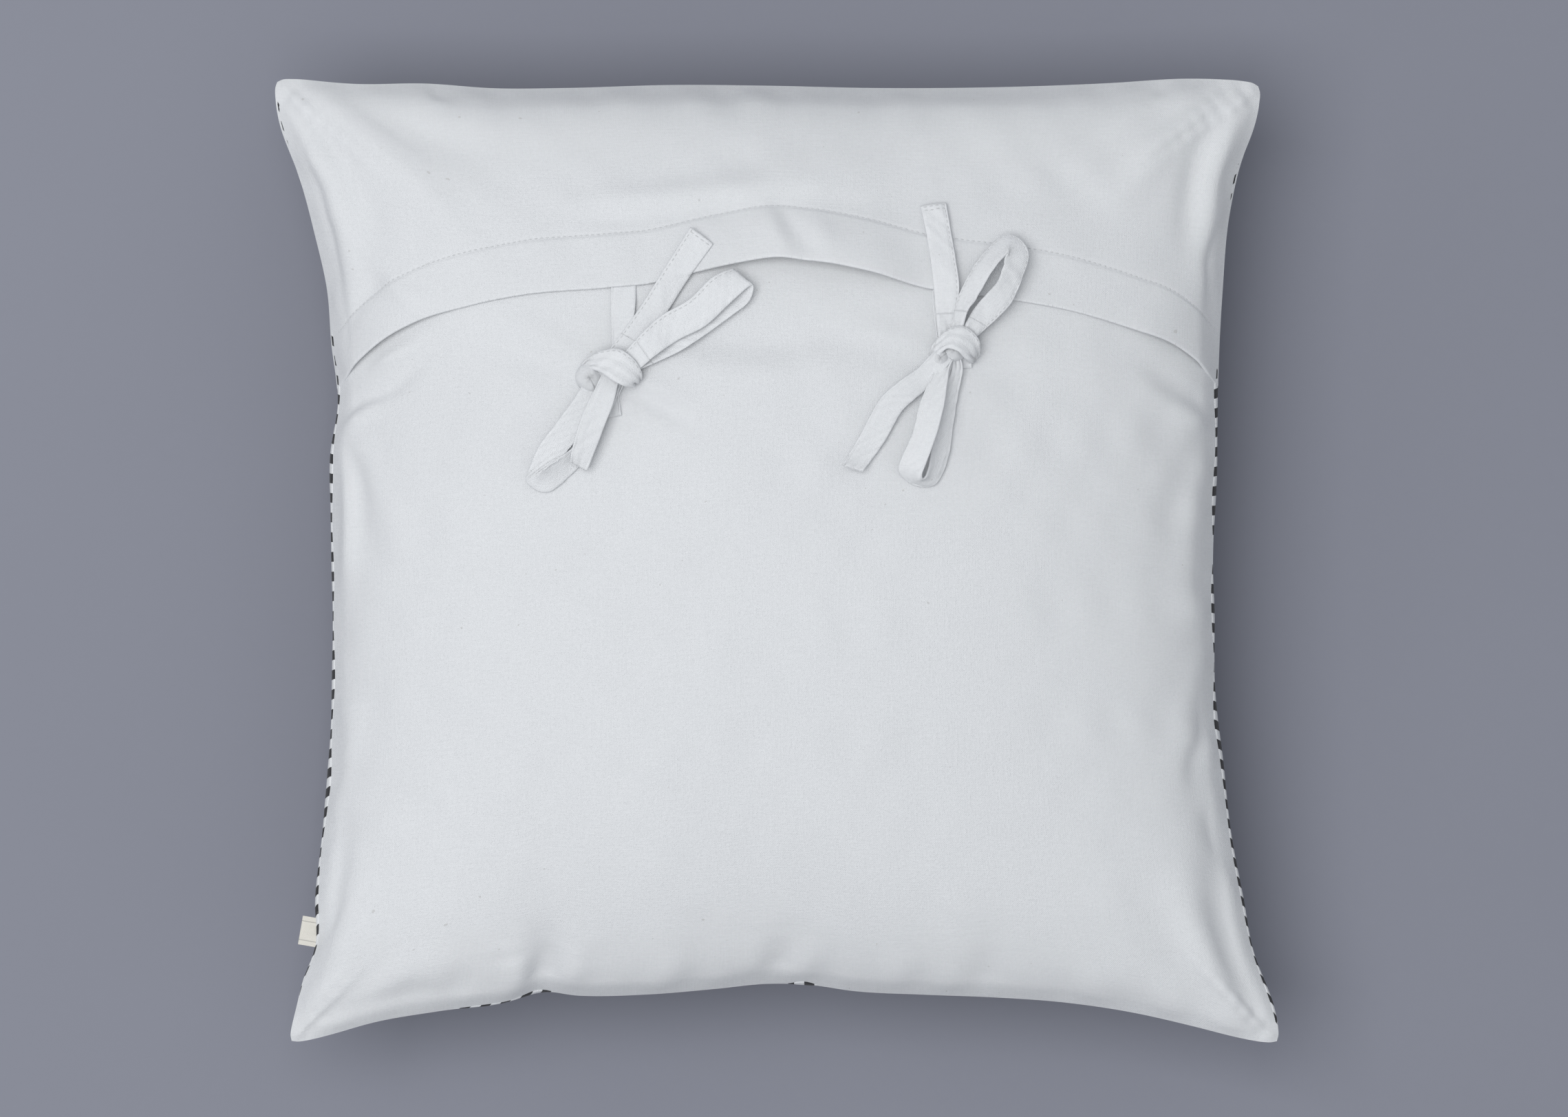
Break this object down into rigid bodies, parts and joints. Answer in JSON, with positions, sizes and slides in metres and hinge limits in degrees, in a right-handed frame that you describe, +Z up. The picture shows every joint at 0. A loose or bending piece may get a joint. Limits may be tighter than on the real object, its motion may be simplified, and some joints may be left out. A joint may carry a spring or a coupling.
{
  "type": "floor cushion",
  "caption": "Square floor cushion in white cotton with a printed check front, an envelope flap at the back tied shut with cloth bows, and a filled inner pad.",
  "frame": {"origin": "middle of the footprint, on the floor that the printed front lies on", "axes": "+Z up out of the back, +Y towards the edge that the flap is sewn to, +X to the right seen from above"},
  "size_m": [0.596, 0.5735, 0.1818],
  "materials": {
    "white_cotton": "matt plain-weave cotton canvas",
    "printed_cotton": "matt plain-weave cotton printed with a small black and white check",
    "tie_cotton": "matt plain-weave cotton, folded and top-stitched",
    "sewing_thread": "white spun polyester thread",
    "label_tape": "unbleached cotton tape",
    "pad_case_cotton": "light downproof cotton",
    "fibre_filling": "lofty polyester fibre"
  },
  "bodies": {
    "cushion": {"front_panel": "printed_cotton", "back_panel": "white_cotton", "back_panel_hem": "white_cotton", "flap_panel": "white_cotton", "flap_hem": "white_cotton", "flap_hem_thread": "sewing_thread", "pad_case_front": "pad_case_cotton", "pad_case_back": "pad_case_cotton", "pad_filling": "fibre_filling", "left_flap_tie": "tie_cotton", "left_panel_tie": "tie_cotton", "left_knot": "tie_cotton", "right_flap_tie": "tie_cotton", "right_panel_tie": "tie_cotton", "right_knot": "tie_cotton"},
    "left_tail_upper": {"left_tail_upper": "tie_cotton"},
    "left_loop_upper": {"left_loop_upper": "tie_cotton"},
    "left_loop_lower": {"left_loop_lower": "tie_cotton"},
    "left_tail_lower": {"left_tail_lower": "tie_cotton"},
    "right_tail_upper": {"right_tail_upper": "tie_cotton"},
    "right_loop_upper": {"right_loop_upper": "tie_cotton"},
    "right_loop_lower": {"right_loop_lower": "tie_cotton"},
    "right_tail_lower": {"right_tail_lower": "tie_cotton"},
    "side_label": {"side_label": "label_tape"}
  },
  "joints": [
    {"name": "left_tail_upper_lift", "type": "hinge", "parent": "cushion", "child": "left_tail_upper", "pos_m": [-0.08291, 0.13138, 0.16761], "axis": [0.8486, -0.529, 0], "range_deg": [0, 45]},
    {"name": "left_loop_upper_lift", "type": "hinge", "parent": "left_tail_upper", "child": "left_loop_upper", "pos_m": [-0.07836, 0.12735, 0.17336], "axis": [0.5547, -0.8321, 0], "range_deg": [0, 45]},
    {"name": "left_loop_lower_lift", "type": "hinge", "parent": "cushion", "child": "left_loop_lower", "pos_m": [-0.10031, 0.10567, 0.17208], "axis": [-0.8247, 0.5655, 0], "range_deg": [0, 45]},
    {"name": "left_tail_lower_lift", "type": "hinge", "parent": "left_loop_lower", "child": "left_tail_lower", "pos_m": [-0.0973, 0.10405, 0.17463], "axis": [-0.9165, 0.3999, 0], "range_deg": [0, 45]},
    {"name": "right_tail_upper_lift", "type": "hinge", "parent": "cushion", "child": "right_tail_upper", "pos_m": [0.10063, 0.14588, 0.16199], "axis": [0.9871, 0.1604, 0], "range_deg": [0, 45]},
    {"name": "right_loop_upper_lift", "type": "hinge", "parent": "right_tail_upper", "child": "right_loop_upper", "pos_m": [0.11156, 0.14433, 0.16546], "axis": [0.8536, -0.5209, 0], "range_deg": [0, 45]},
    {"name": "right_loop_lower_lift", "type": "hinge", "parent": "right_tail_lower", "child": "right_loop_lower", "pos_m": [0.09921, 0.11599, 0.17182], "axis": [-0.9611, 0.2763, 0], "range_deg": [0, 45]},
    {"name": "right_tail_lower_lift", "type": "hinge", "parent": "cushion", "child": "right_tail_lower", "pos_m": [0.09334, 0.11862, 0.16756], "axis": [-0.7735, 0.6338, 0], "range_deg": [0, 45]},
    {"name": "side_label_flex", "type": "hinge", "parent": "cushion", "child": "side_label", "pos_m": [-0.27865, -0.21696, 0.083], "axis": [0.172, 0.9851, 0], "range_deg": [-60, 60], "stiffness_Nm_per_rad": 0.00005}
  ]
}
